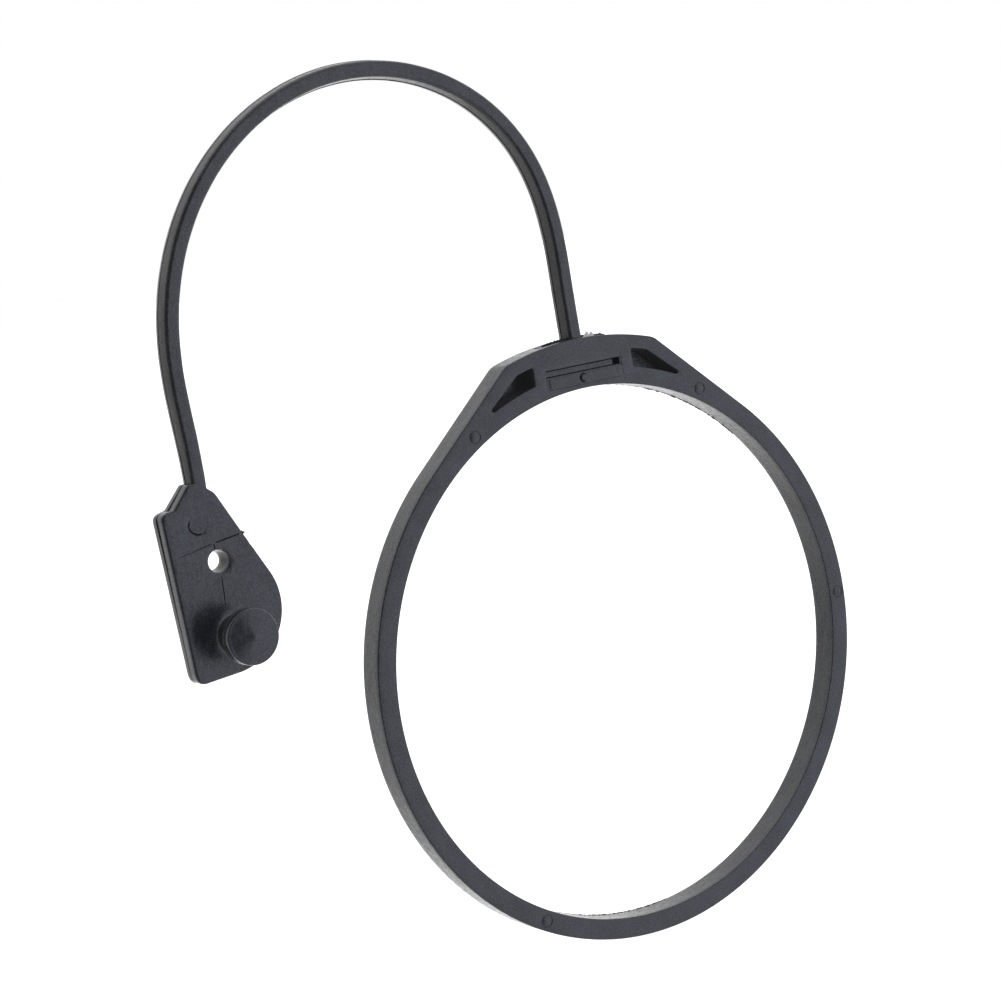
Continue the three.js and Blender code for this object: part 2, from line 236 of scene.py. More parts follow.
class Skin:
    """A closed surface, put together from loops, strips and flat regions."""

    def __init__(self):
        self.points = []
        self.faces = []

    def add(self, points):
        first = len(self.points)
        self.points.extend([tuple(map(float, p)) for p in points])
        return list(range(first, first + len(points)))

    def loop(self, outline, z):
        heights = np.broadcast_to(z, (len(outline),))
        return self.add([(p[0], p[1], height) for p, height in zip(outline, heights)])

    def strip(self, a, b):
        count = len(a)
        for i in range(count):
            j = (i + 1) % count
            self.faces.append((a[i], a[j], b[j], b[i]))

    def tube(self, loops):
        for a, b in zip(loops, loops[1:]):
            self.strip(a, b)

    def loft(self, rows):
        """A tube through rows of (outline, z). Returns its loops."""
        loops = [self.loop(outline, z) for outline, z in rows]
        self.tube(loops)
        return loops

    def cap(self, loop):
        self.faces.append(tuple(loop))

    def bar(self, loops):
        """A tube closed at both ends."""
        self.tube(loops)
        self.cap(loops[0])
        self.cap(loops[-1][::-1])

    def fan(self, loop, point):
        centre = self.add([point])[0]
        for i in range(len(loop)):
            self.faces.append((loop[i], loop[(i + 1) % len(loop)], centre))

    def region(self, rim, holes=(), z=0.0, grid=None, shape=None):
        """Fills the face inside the loop rim and outside the loops holes.

        grid adds points at that pitch, at height shape(x, y), or z if no shape is given.
        """
        loops = [rim, *holes]
        outlines = [np.array([self.points[i][:2] for i in loop]) for loop in loops]
        ids = [i for loop in loops for i in loop]
        flat = [Vector(self.points[i][:2]) for i in ids]
        edges = []
        first = 0
        for loop in loops:
            count = len(loop)
            edges += [(first + k, first + (k + 1) % count) for k in range(count)]
            first += count

        def on_face(points):
            keep = inside(points, outlines[0])
            for hole in outlines[1:]:
                keep &= ~inside(points, hole)
            return keep

        if grid:
            tree = KDTree(len(flat))
            for k, corner in enumerate(flat):
                tree.insert((corner[0], corner[1], 0), k)
            tree.balance()
            points = triangular_grid(outlines[0], grid)
            new = self.add([
                (x, y, shape(x, y) if shape else z)
                for x, y in points[on_face(points)]
                if tree.find((x, y, 0))[2] > grid * 0.55
            ])
            ids += new
            flat += [Vector(self.points[i][:2]) for i in new]

        result = delaunay_2d_cdt(flat, edges, [], 0, 1e-7)
        places, triangles, sources = result[0], result[2], result[3]
        back = []
        for place, source in zip(places, sources):
            if source:
                back.append(ids[source[0]])
            else:  # a point made where two edges cross
                back += self.add([(place[0], place[1], z)])
        triangles = np.array([list(t) for t in triangles])
        corners = np.array([self.points[i][:2] for i in back])
        for triangle in triangles[on_face(corners[triangles].mean(axis=1))]:
            self.faces.append(tuple(back[k] for k in triangle))

    def mesh(self, name, merge=1e-4):
        """The skin as a mesh in world metres, with its normals outward."""
        mesh = bpy.data.meshes.new(name)
        mesh.from_pydata([world(p) for p in self.points], [], self.faces)
        bm = bmesh.new()
        bm.from_mesh(mesh)
        bmesh.ops.remove_doubles(bm, verts=bm.verts, dist=merge / MM_PER_M)
        loose = [vertex for vertex in bm.verts if not vertex.link_faces]
        bmesh.ops.delete(bm, geom=loose, context="VERTS")
        bmesh.ops.recalc_face_normals(bm, faces=bm.faces)
        if bm.calc_volume(signed=True) < 0:
            bmesh.ops.reverse_faces(bm, faces=bm.faces)
        bm.to_mesh(mesh)
        bm.free()
        return mesh


def finish_piece(name, mesh, material, sharp=38.0, weighted=True):
    """Shades a mesh and makes its object. sharp is the least angle of a hard edge, in degrees."""
    for polygon in mesh.polygons:
        polygon.use_smooth = True
    mesh.set_sharp_from_angle(angle=math.radians(sharp))
    mesh.materials.clear()
    mesh.materials.append(material)
    piece = bpy.data.objects.new(name, mesh)
    bpy.context.scene.collection.objects.link(piece)
    if weighted:
        modifier = piece.modifiers.new("normals", "WEIGHTED_NORMAL")
        modifier.keep_sharp = True
        modifier.weight = 60
    return piece


def boolean(mesh_a, mesh_b, operation):
    """The join or cut of two closed meshes, as a new mesh."""
    a = bpy.data.objects.new("tool_a", mesh_a)
    b = bpy.data.objects.new("tool_b", mesh_b)
    for tool in (a, b):
        bpy.context.scene.collection.objects.link(tool)
    modifier = a.modifiers.new("cut", "BOOLEAN")
    modifier.operation = operation
    modifier.object = b
    # the exact solver steps in where the quick one leaves nothing or changes nothing
    for solver in ("MANIFOLD", "EXACT"):
        modifier.solver = solver
        bpy.context.view_layer.update()
        evaluated = a.evaluated_get(bpy.context.evaluated_depsgraph_get())
        made = bpy.data.meshes.new_from_object(evaluated)
        if len(made.polygons) not in (0, len(mesh_a.polygons)):
            break
    for tool in (a, b):
        bpy.data.objects.remove(tool)
    return made


def rounded_prism(name, points, z0, z1, bevel, step, blur):
    """A prism along z with softened corners and rounded rims."""
    outline, normals = soft_outline(points, step, blur)
    skin = Skin()
    back = roundover(outline, normals, bevel, z0, back=True, segments=3)
    front = roundover(outline, normals, bevel, z1, segments=3)
    loops = skin.loft(back + front[::-1])
    skin.region(loops[0], z=z0)
    skin.region(loops[-1], z=z1)
    return skin.mesh(name)


# ---------------------------------------------------------------- materials


class Graph:
    """Short forms for building a node tree."""

    def __init__(self, owner):
        owner.use_nodes = True
        self.tree = owner.node_tree

    def node(self, kind, inputs=None, **settings):
        """A node with its settings made, and its inputs linked to sockets or set to values."""
        node = self.tree.nodes.new(kind)
        for key, value in settings.items():
            setattr(node, key, value)
        for key, value in (inputs or {}).items():
            if isinstance(value, bpy.types.NodeSocket):
                self.tree.links.new(value, node.inputs[key])
            else:
                node.inputs[key].default_value = value
        return node

    def maths(self, operation, a, b):
        return self.node("ShaderNodeMath", {0: a, 1: b}, operation=operation).outputs[0]

    def add(self, total, *parts):
        for part in parts:
            total = self.maths("ADD", total, part)
        return total

    def ramp(self, source, low, high, at_low, at_high):
        """Eases from at_low to at_high as the source goes from low to high."""
        inputs = {
            "From Min": low, "From Max": high, "To Min": at_low, "To Max": at_high, "Value": source,
        }
        ramp = self.node("ShaderNodeMapRange", inputs, interpolation_type="SMOOTHSTEP")
        return ramp.outputs["Result"]

    def mix(self, a, b, factor):
        inputs = {"A": a, "B": b, "Factor": factor}
        return self.node("ShaderNodeMix", inputs, data_type="RGBA").outputs["Result"]

    def mix_shaders(self, factor, a, b):
        return self.node("ShaderNodeMixShader", {0: factor, 1: a, 2: b}).outputs[0]

    def camera_ray(self):
        return self.node("ShaderNodeLightPath").outputs["Is Camera Ray"]


WORN_COLOUR = (0.125, 0.127, 0.132, 1)
DUST_COLOUR = (0.20, 0.20, 0.205, 1)
# painted glow: a faint emission in the plastics that lifts their darkest shade
PAINTED_GLOW_COLOUR = (0.95, 0.96, 1.0, 1)


def plastic(name, dark, light, rough, grain, wear, streak=(0.25, 1.0, 1.0), mottled=1.0,
            shine=0.5, least=0.0045):
    """A moulded plastic with fine grain, slow clouding, flow marks, pale specks and paler edges.

    dark, light: the colours its tone runs between.
    rough: middle roughness.
    grain: relief of the surface.
    wear: how much its edges are rubbed.
    streak: the flow marks' frequency along each axis; a low one draws them out.
    mottled: how far the shine breaks up.
    shine: middle specular level.
    least: strength of a painted glow, an emission that lifts the darkest shade everywhere.
    """
    material = bpy.data.materials.new(name)
    graph = Graph(material)
    graph.tree.nodes.clear()
    node, maths, ramp = graph.node, graph.maths, graph.ramp
    where = node("ShaderNodeTexCoord").outputs["Object"]

    def scaled(scale):
        inputs = {"Vector": where, "Scale": tuple(MM_PER_M * x for x in scale)}
        return node("ShaderNodeMapping", inputs).outputs[0]

    def texture(vector, scale, detail, roughness=0.5, distortion=0.0):
        inputs = {
            "Vector": vector, "Scale": scale, "Detail": detail,
            "Roughness": roughness, "Distortion": distortion,
        }
        return node("ShaderNodeTexNoise", inputs).outputs[0]

    plain = scaled((1.0, 1.0, 1.0))
    drawn = scaled(streak)
    fine = texture(plain, scale=5.5, detail=3.0, roughness=0.6)
    middling = texture(plain, scale=1.6, detail=4.0, roughness=0.62)
    mottle = texture(plain, scale=5.0, detail=2.0, roughness=0.7)
    cloud = texture(plain, scale=0.32, detail=3.0, roughness=0.55)
    flow = texture(drawn, scale=1.1, detail=3.0, roughness=0.6, distortion=0.6)
    few = texture(plain, scale=0.9, detail=0.0)
    micro = texture(plain, scale=8.5, detail=2.0, roughness=0.6)

    # how light the skin is at each point, 0 to 1
    tone = graph.add(
        ramp(fine, 0.25, 0.75, at_low=0.0, at_high=0.34),
        ramp(middling, 0.25, 0.75, at_low=0.0, at_high=0.30),
        ramp(cloud, 0.3, 0.7, at_low=0.0, at_high=0.18),
        ramp(flow, 0.3, 0.7, at_low=0.0, at_high=0.18),
    )
    colour = graph.mix((*dark, 1), (*light, 1), tone)

    # rubbed edges, from the surface's own curvature
    curvature = node("ShaderNodeNewGeometry").outputs["Pointiness"]
    edge = ramp(curvature, 0.515, 0.60, at_low=0.0, at_high=wear)
    rubbed = maths("MULTIPLY", edge, ramp(middling, 0.35, 0.6, at_low=0.45, at_high=1.0))
    colour = graph.mix(colour, WORN_COLOUR, rubbed)

    # sparse pale specks of dust and moulding dross
    cells = node("ShaderNodeTexVoronoi", {"Vector": plain, "Scale": 0.95, "Randomness": 1.0})
    dot = ramp(cells.outputs["Distance"], 0.035, 0.075, at_low=1.0, at_high=0.0)
    dot = maths("MULTIPLY", dot, ramp(few, 0.56, 0.62, at_low=0.0, at_high=0.40))
    colour = graph.mix(colour, DUST_COLOUR, dot)

    roughness = graph.add(
        ramp(middling, 0.25, 0.75, at_low=rough - 0.07, at_high=rough + 0.07),
        ramp(flow, 0.3, 0.7, at_low=-0.03, at_high=0.03),
    )
    polish = maths("MULTIPLY", edge, 0.18)
    roughness = maths("SUBTRACT", roughness, polish)

    # the shine breaks up with the grain
    mottling, clouding = 0.2 * mottled, 0.04 * mottled
    level = graph.add(
        ramp(mottle, 0.3, 0.7, at_low=shine - mottling, at_high=shine + mottling),
        ramp(cloud, 0.3, 0.7, at_low=-clouding, at_high=clouding),
    )

    # grain and shallow unevenness: height and its depth in metres
    relief = {}
    for height, depth in ((micro, 0.000011), (middling, 0.000030), (flow, 0.00004)):
        inputs = {"Strength": 1.0, "Distance": depth * grain, "Height": height, **relief}
        relief = {"Normal": node("ShaderNodeBump", inputs).outputs[0]}

    surface = node("ShaderNodeBsdfPrincipled", {
        "Base Color": colour,
        "Roughness": roughness,
        "IOR": 1.5,
        "Specular IOR Level": level,
        # painted glow: this emission lifts the darkest shade; the plastic gives off no light
        "Emission Color": PAINTED_GLOW_COLOUR,
        "Emission Strength": least,
        **relief,
    })
    node("ShaderNodeOutputMaterial", {"Surface": surface.outputs[0]})
    return material


UPRIGHT_STREAKS = (1.0, 1.0, 0.22)

# the ring's painted glow is stronger, to lift the shade in its pockets
RING_PLASTIC = plastic(
    "ring_plastic", dark=(0.004, 0.0046, 0.006), light=(0.021, 0.023, 0.028),
    rough=0.31, grain=1.2, wear=0.06, mottled=0.75, shine=0.48, least=0.0075,
)
TETHER_PLASTIC = plastic(
    "tether_plastic", dark=(0.0045, 0.0050, 0.0068), light=(0.0195, 0.0208, 0.027),
    rough=0.26, grain=0.75, wear=0.04, streak=UPRIGHT_STREAKS, mottled=0.62,
)
FOOT_PLASTIC = plastic(
    "foot_plastic", dark=(0.005, 0.0055, 0.0065), light=(0.022, 0.0230, 0.026),
    rough=0.31, grain=1.1, wear=0.0, mottled=0.7, shine=0.49,
)
STRAP_PLASTIC = plastic(
    "strap_plastic", dark=(0.0055, 0.0058, 0.0065), light=(0.020, 0.0205, 0.0228),
    rough=0.28, grain=0.9, wear=0.0, streak=UPRIGHT_STREAKS, mottled=0.6,
)
# flash fins, darker and duller than the body: partly the flash's own colour, partly painted shade,
# as the black fins on the crown stand in for the shade under the strap's root
FLASH_AND_SHADE_PLASTIC = plastic(
    "flash_and_painted_shade_plastic", dark=(0.004, 0.004, 0.0045), light=(0.014, 0.014, 0.015),
    rough=0.5, grain=1.8, wear=0.0, shine=0.22,
)
# the burr's stronger painted glow brightens it beyond the light that falls on it
BURR_PLASTIC = plastic(
    "burr_plastic", dark=(0.50, 0.46, 0.45), light=(0.80, 0.76, 0.75),
    rough=0.5, grain=1.5, wear=0.0, least=0.05,
)

# ---------------------------------------------------------------- cap ring

SHOULDER = 41.2  # degrees from the head's middle to where the crown starts
FILLET = 2.5  # radius between the ring and the crown
RING_STEP = 0.42
WALL_STATIONS = (2.6, 1.9, 1.2, 0.6)  # z of the wall's loops

SLOT_HALF = 5.3
SLOT_FLOOR = 33.0
SLOT_BACK, SLOT_FRONT = 0.9, 2.5
WINDOW_HALF = 5.6
WINDOW_TOP = 35.40
WINDOW_BACK = 2.05

POCKET_LOW_R, POCKET_HIGH_R = 34.6, 36.85
POCKET_FLOOR = 0.5

# ejector marks: degrees clockwise from the head, distance from the axis
RING_MARKS = ((29.5, 33.9), (-29.5, 33.9), (90.0, 33.85), (-148.8, 33.8))
# a shallow groove round a disc: radius, z from the face
RING_MARK_PROFILE = ((0.80, 0.0), (0.765, -0.045), (0.73, -0.075), (0.69, -0.06), (0.64, -0.03))


def ring_outline():
    reach = CROWN_R - FILLET
    half = SHOULDER - math.degrees(math.acos((OUTER_R - FILLET) / reach))
    x = reach * math.sin(math.radians(half))
    y = reach * math.cos(math.radians(half))
    points = arc(0, 0, OUTER_R, 90 + SHOULDER, 450 - SHOULDER, 900)
    points += arc(x, y, FILLET, 90 - SHOULDER, 90 - half, 40)
    points += arc(0, 0, CROWN_R, 90 - half, 90 + half, 120)[1:]
    points += arc(-x, y, FILLET, 90 + half, 90 + SHOULDER, 40)[1:]
    return points


def pocket_outline(side):
    """The pocket at the right of the head for side 1, at the left for side -1."""
    def on_circle(x, radius):
        return (x, math.sqrt(radius * radius - x * x))

    points = [on_circle(x, POCKET_LOW_R) for x in np.linspace(7.25, 13.55, 14)]
    points += [(13.91, 32.02), (13.85, 32.22)]
    points += [on_circle(x, POCKET_HIGH_R) for x in (9.6, 8.8, 8.0, 7.25)]
    return points if side > 0 else [(-x, y) for x, y in points][::-1]


def ring_wall(skin, points, front_rim, back_rim, hole, noise_z):
    """A wall with rounded rims and the faint unevenness of moulding. Returns its end loops."""
    outline = resample(points, RING_STEP)
    normals = outward(outline)
    rows = roundover(outline, normals, front_rim, DEPTH, hole=hole)
    for z in WALL_STATIONS:
        bump = np.array([0.012 * jitter(x, y, z + noise_z, 0.35) for x, y in outline])
        rows.append((outline + normals * bump[:, None], z))
    rows += roundover(outline, normals, back_rim, 0.0, hole=hole, back=True)[::-1]
    loops = skin.loft(rows)
    return loops[0], loops[-1]


def pocket(skin, side):
    """A blind pocket with drafted walls and a small fillet at the floor. Returns its rim."""
    outline, normals = soft_outline(pocket_outline(side), step=0.11, blur=0.17)
    rows = roundover(outline, normals, 0.08, DEPTH, hole=True, segments=3)
    for inset, z in (
        (0.02, 2.4), (0.04, 1.4), (0.06, POCKET_FLOOR + 0.16),
        (0.08, POCKET_FLOOR + 0.05), (0.12, POCKET_FLOOR),
    ):
        rows.append((outline - normals * inset, z))
    loops = skin.loft(rows)
    skin.region(loops[-1], z=POCKET_FLOOR, grid=0.6)
    return loops[0]


def slot_window(skin):
    """The window in front of the slot. Returns its rim."""
    points = box_outline(-WINDOW_HALF, WINDOW_HALF, SLOT_FLOOR + 0.02, WINDOW_TOP)
    outline, normals = soft_outline(points, step=0.12, blur=0.07)
    rows = roundover(outline, normals, 0.02, DEPTH, hole=True, segments=3)
    loops = skin.loft(rows + [(outline, 2.9), (outline, WINDOW_BACK)])
    skin.region(loops[-1], z=WINDOW_BACK)
    return loops[0]


def ring_mark(skin, degrees, distance):
    """A round ejector mark. Returns its rim."""
    angle = math.radians(degrees)
    centre = np.array((distance * math.sin(angle), distance * math.cos(angle)))
    circle = unit_circle(40)
    loops = skin.loft([(centre + circle * r, DEPTH + dz) for r, dz in RING_MARK_PROFILE])
    skin.region(loops[-1], z=DEPTH + RING_MARK_PROFILE[-1][1])
    return loops[0]


def ring_skin():
    skin = Skin()
    outer_front, outer_back = ring_wall(
        skin, ring_outline(), front_rim=0.17, back_rim=0.11, hole=False, noise_z=0,
    )
    bore = arc(0, 0, INNER_R, 0, 360, 720, last=False)
    bore_front, bore_back = ring_wall(
        skin, bore, front_rim=0.13, back_rim=0.09, hole=True, noise_z=9,
    )
    holes = [bore_front]
    holes += [pocket(skin, side) for side in (-1, 1)]
    holes.append(slot_window(skin))
    holes += [ring_mark(skin, *mark) for mark in RING_MARKS]
    skin.region(
        outer_front, holes, z=DEPTH, grid=0.7,
        shape=lambda x, y: DEPTH + 0.008 * jitter(x, y, 3.0, 0.5),
    )
    skin.region(
        outer_back, [bore_back], z=0.0, grid=0.9,
        shape=lambda x, y: 0.004 * (jitter(x, y, 7.0, 0.5) - 1),
    )
    return skin.mesh("cap_ring_skin")


def build_ring():
    mesh = ring_skin()
    slot = rounded_prism(
        "slot_tool", box_outline(-SLOT_HALF, SLOT_HALF, SLOT_FLOOR, CROWN_R + 2),
        SLOT_BACK, SLOT_FRONT, bevel=0.05, step=0.25, blur=0.1,
    )
    mesh = boolean(mesh, slot, "DIFFERENCE")
    ring = finish_piece("cap_ring_moulding", mesh, RING_PLASTIC)
    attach(ring, "ring")
    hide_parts("cap_ring")


build_ring()

# ---------------------------------------------------------------- moulding flash

FLASH_ROOT = 0.06  # how far a fin is sunk into the moulding


def flash_fin(name, stations, z, thick, material):
    """A thin torn fin of flash on the ring. stations are (x, y, outward x, outward y, height)."""
    skin = Skin()
    base = thick / 2
    tip = 0.35 * base
    sections = []
    for x, y, out_x, out_y, height in stations:
        root_x, root_y = x - out_x * FLASH_ROOT, y - out_y * FLASH_ROOT
        tip_x, tip_y = x + out_x * height, y + out_y * height
        sections.append(skin.add([
            (root_x, root_y, z - base), (root_x, root_y, z + base),
            (tip_x, tip_y, z + tip), (tip_x, tip_y, z - tip),
        ]))
    skin.bar(sections)
    mesh = skin.mesh(name, merge=1e-5)
    fin = finish_piece(name, mesh, material, sharp=60, weighted=False)
    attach(fin, "ring")


def bore_flash(name, start, end, seed):
    """Flash along the bore's rear rim, between two angles counted clockwise from the head."""
    count = int(abs(end - start) / 0.28)
    stations = []
    for k in range(count + 1):
        angle = math.radians(start + (end - start) * k / count)
        x, y = math.sin(angle), math.cos(angle)
        torn = 0.55 * jitter(k * 0.31, seed) + 0.45 * jitter(k * 1.1, seed + 5) + 0.18
        fade = math.sin(math.pi * k / count) ** 0.35
        height = 0.02 + 0.16 * max(0.0, torn) * fade
        stations.append((INNER_R * x, INNER_R * y, -x, -y, height))
    flash_fin(name, stations, 0.06, 0.10, FLASH_AND_SHADE_PLASTIC)


bore_flash("ring_flash_top", start=6, end=46, seed=1.3)
bore_flash("ring_flash_low", start=176, end=205, seed=4.1)

# ---------------------------------------------------------------- tether foot in the head's slot

FOOT_TOP_R = 38.50
TONGUE_HALF = 5.0
TONGUE_TOP_HALF = 4.98
TONGUE_FLOOR = 33.3
TONGUE_WOBBLE = 0.04
BAR_HALF = 5.585
BAR_FLOOR = 33.035


def tongue_outline():
    half = math.degrees(math.asin(TONGUE_TOP_HALF / FOOT_TOP_R))
    top = [
        (x * (1 + TONGUE_WOBBLE / FOOT_TOP_R * jitter(x * 1.7, 4.0)),
         y + TONGUE_WOBBLE * jitter(x * 2.1, 8.0))
        for x, y in arc(0, 0, FOOT_TOP_R, 90 - half, 90 + half, 60)
    ]
    return [(-TONGUE_HALF, TONGUE_FLOOR), (TONGUE_HALF, TONGUE_FLOOR)] + top


def bar_front_outline():
    return (
        [(BAR_HALF, BAR_FLOOR), (BAR_HALF, 34.34)]
        + arc(-4.92, 34.04, 0.30, 90, 180, 6)
        + arc(-4.77, 33.485, 0.45, 180, 270, 8)
    )


# outline, back z, front z, bevel, blur
FOOT_PARTS = (
    (box_outline(-BAR_HALF, 4.42, 34.61, 35.27), 2.0, 3.16, 0.04, 0.05),  # ledge above the bar
    (box_outline(5.34, BAR_HALF, 34.60, 35.385), 2.0, 3.38, 0.02, 0.03),  # stop at its right end
    (box_outline(-BAR_HALF, BAR_HALF, BAR_FLOOR, 34.52), 2.0, 3.345, 0.03, 0.04),  # the bar
    (bar_front_outline(), 2.6, 3.43, 0.04, 0.04),  # its raised front
)
GATE_STRETCH = np.array((1.0, 1.22))
# the gate's discs: radius, z
GATE_BORE = ((0.50, 3.16), (0.51, 3.9))
GATE_STUB = ((0.36, 2.9), (0.36, 3.37), (0.34, 3.43), (0.27, 3.46), (0.14, 3.43))


def gate_disc(name, centre, profile, tip):
    """An upright oval plug of material, for the gate mark."""
    skin = Skin()
    disc = unit_circle(32)
    loops = skin.loft([(np.array(centre) + disc * (r * GATE_STRETCH), z) for r, z in profile])
    skin.cap(loops[0])
    skin.fan(loops[-1], (*centre, tip))
    return skin.mesh(name)


def build_foot():
    mesh = rounded_prism(
        "foot_tongue", tongue_outline(), 1.18, 2.24, bevel=0.07, step=0.16, blur=0.14,
    )
    for i, (outline, z0, z1, bevel, blur) in enumerate(FOOT_PARTS):
        part = rounded_prism(f"foot_part_{i}", outline, z0, z1, bevel, step=0.12, blur=blur)
        mesh = boolean(mesh, part, "UNION")
    # the gate mark on the bar: a shallow counterbore with the broken stub of the gate in it
    bore = gate_disc("foot_gate_bore", (-0.36, 33.80), GATE_BORE, tip=3.9)
    mesh = boolean(mesh, bore, "DIFFERENCE")
    stub = gate_disc("foot_gate", (-0.19, 33.76), GATE_STUB, tip=3.42)
    mesh = boolean(mesh, stub, "UNION")
    foot = finish_piece("tether_foot", mesh, FOOT_PLASTIC)
    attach(foot, "ring")
    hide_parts("strap_foot")


def crown_flash(name, x0, x1, z, seed, tallest, least, material=FLASH_AND_SHADE_PLASTIC, thick=0.14):
    """Flash along the foot's curved top, from x0 to x1."""
    count = int(abs(x1 - x0) / 0.10)
    stations = []
    for k in range(count + 1):
        x = x0 + (x1 - x0) * k / count
        y = math.sqrt(FOOT_TOP_R**2 - x * x)
        torn = 0.6 * jitter(k * 0.45, seed) + 0.5 * jitter(k * 1.3, seed + 3) + 0.2
        fade = math.sin(math.pi * k / count) ** 0.5
        height = (least + tallest * max(0.0, torn)) * fade + 0.02
        stations.append((x, y, x / FOOT_TOP_R, y / FOOT_TOP_R, height))
    flash_fin(name, stations, z, thick, material)


build_foot()
# these black fins on the crown also serve as painted shade for the dark band under the strap's root
crown_flash("foot_flash_front", -4.8, 4.6, z=2.20, seed=2.2, tallest=0.26, least=0.20)
crown_flash("foot_flash_back", -4.6, 4.8, z=1.28, seed=6.4, tallest=0.20, least=0.12)
crown_flash(
    "foot_burr", 1.28, 2.85, z=2.34, seed=9.7, tallest=0.95, least=0.22,
    material=BURR_PLASTIC, thick=0.26,
)
crown_flash("foot_burr_dark", 2.75, 4.9, z=1.75, seed=12.7, tallest=0.42, least=0.12)

# ---------------------------------------------------------------- strap


def joint_chain(body):
    """The joints that follow one another from a body."""
    found = []
    while children := [j for j in frame["joints"] if j["parent"] == body]:
        found.append(children[0])
        body = children[0]["child"]
    return found


def clamped_spline(points, start_slope, end_slope):
    """A smooth curve through points with given end directions.

    Returns a function from length along it to place and direction, and the points' lengths.
    """
    count = len(points)
    spans = np.hypot(*(points[1:] - points[:-1]).T)
    knots = np.concatenate([[0], np.cumsum(spans)])
    matrix = np.zeros((count, count))
    target = np.zeros((count, 2))
    matrix[0, 0] = matrix[-1, -1] = 1
    target[0], target[-1] = start_slope, end_slope
    for i in range(1, count - 1):
        before, after = spans[i - 1], spans[i]
        matrix[i, i - 1] = after
        matrix[i, i] = 2 * (before + after)
        matrix[i, i + 1] = before
        target[i] = 3 * (
            before * (points[i + 1] - points[i]) / after
            + after * (points[i] - points[i - 1]) / before
        )
    slopes = np.linalg.solve(matrix, target)

    def at(along):
        if along <= 0:
            return points[0] + start_slope * along, start_slope
        if along >= knots[-1]:
            return points[-1] + end_slope * (along - knots[-1]), end_slope
        i = min(count - 2, int(np.searchsorted(knots, along, side="right") - 1))
        t = (along - knots[i]) / spans[i]
        a, b = points[i], points[i + 1]
        slope_a, slope_b = slopes[i] * spans[i], slopes[i + 1] * spans[i]
        place = (
            (2 * t**3 - 3 * t**2 + 1) * a + (t**3 - 2 * t**2 + t) * slope_a
            + (-2 * t**3 + 3 * t**2) * b + (t**3 - t**2) * slope_b
        )
        direction = (
            (6 * t**2 - 6 * t) * a + (3 * t**2 - 4 * t + 1) * slope_a
            + (-6 * t**2 + 6 * t) * b + (3 * t**2 - 2 * t) * slope_b
        )
        return place, direction / np.linalg.norm(direction)

    return at, knots


CHAIN = joint_chain("ring")
BENDS = np.array([
    (j["pos_m"][0] * MM_PER_M - AXIS_X, j["pos_m"][2] * MM_PER_M - AXIS_Z) for j in CHAIN
])
ROOT_DIRECTION, END_DIRECTION = (
    np.array((j["axis"][0], j["axis"][2])) for j in (CHAIN[0], CHAIN[-1])
)
spline, BEND_LENGTHS = clamped_spline(BENDS, ROOT_DIRECTION, END_DIRECTION)

STRAP_START = -(BENDS[0][1] - (CROWN_R + 0.03))  # just clear of the head's crown
STRAP_END = BEND_LENGTHS[-1] + 1.0  # sunk into the plate
STRAP_SHIFT = 0.21  # how far the strap is set over to the right, away from the root
STRAP_STEP = 0.33
STRAP_FRONT, STRAP_BACK = 2.76, 0.70
RIB_CORNER = 0.47
RIB_DRAFT = 13.0  # degrees
FLANGE_TOP = 1.302


def strap_at(along):
    """Place and direction of the strap's centre line."""
    place, direction = spline(along)
    shift = STRAP_SHIFT * smoothstep(fraction(along, 0.0, 12.0))
    return place + np.array((shift, 0.0)), direction


def half_profile(flange, rib):
    """Half of the strap's section, (across, z), from the middle of the back to the front."""
    half = [(flange * k / 5 * 0.93, STRAP_BACK) for k in range(5)]
    half += [
        (flange - 0.13 + 0.06 * math.sin(a), STRAP_BACK + 0.06 - 0.06 * math.cos(a))
        for a in np.radians((0, 30, 60, 86))
    ]
    half += [(flange - 0.035, 1.01), (flange, 1.27)]
    half += [
        (flange - 0.02 + 0.02 * math.cos(a), 1.28 + 0.02 * math.sin(a))
        for a in np.radians((30, 70, 90))
    ]
    half += [(rib - 0.01, 1.305), (rib - 0.02, 1.36), (rib - 0.05, 1.55)]
    # the drafted side runs into the corner's arc
    corner_x = rib - 0.13 - RIB_CORNER
    angles = np.radians(np.linspace(RIB_DRAFT, 90, 12))
    half += [
        (corner_x + RIB_CORNER * math.cos(a), STRAP_FRONT - RIB_CORNER + RIB_CORNER * math.sin(a))
        for a in angles
    ]
    half += [(corner_x * 0.5, STRAP_FRONT)]
    return half


def strap_profile():
    """A flange, prouder on the loop's inner side (negative), under a drafted, rounded rib."""
    outer = half_profile(flange=1.12, rib=1.09)
    inner = half_profile(flange=1.14, rib=1.075)
    return outer + [(0.0, STRAP_FRONT)] + [(-x, z) for x, z in inner[1:]][::-1]


PROFILE = strap_profile()


def strap_section(along):
    """The section's points at a length along the strap."""
    place, direction = strap_at(along)
    wide = 1 + 0.014 * jitter(along * 0.35, 2.0) + 0.006 * jitter(along * 1.3, 5.0)
    # the rib lowers towards the plate and then sinks into it
    lower = smoothstep(fraction(along, STRAP_END - 6.0, 5.0))
    sink = fraction(along, STRAP_END - 0.55, 0.5)
    lift = 0.012 * jitter(along * 0.5, 11.0) * (1 - sink) - 0.19 * lower - 0.07 * smoothstep(sink)
    points = []
    for across, z in PROFILE:
        offset = across * wide
        if z < FLANGE_TOP:
            ragged = abs(0.010 * jitter(along * 2.2, 20.0 if across > 0 else 30.0))
            offset += ragged if across else -ragged
        else:
            z += lift
        points.append((place[0] + direction[1] * offset, place[1] - direction[0] * offset, z))
    return points


def strap_mesh(name, start, end):
    count = max(6, int(round((end - start) / STRAP_STEP)))
    skin = Skin()
    skin.bar([
        skin.add(strap_section(start + (end - start) * k / count)) for k in range(count + 1)
    ])
    return skin.mesh(name, merge=1e-5)


def strap_point(along):
    place, _ = strap_at(along)
    return world((place[0], place[1], 1.65))


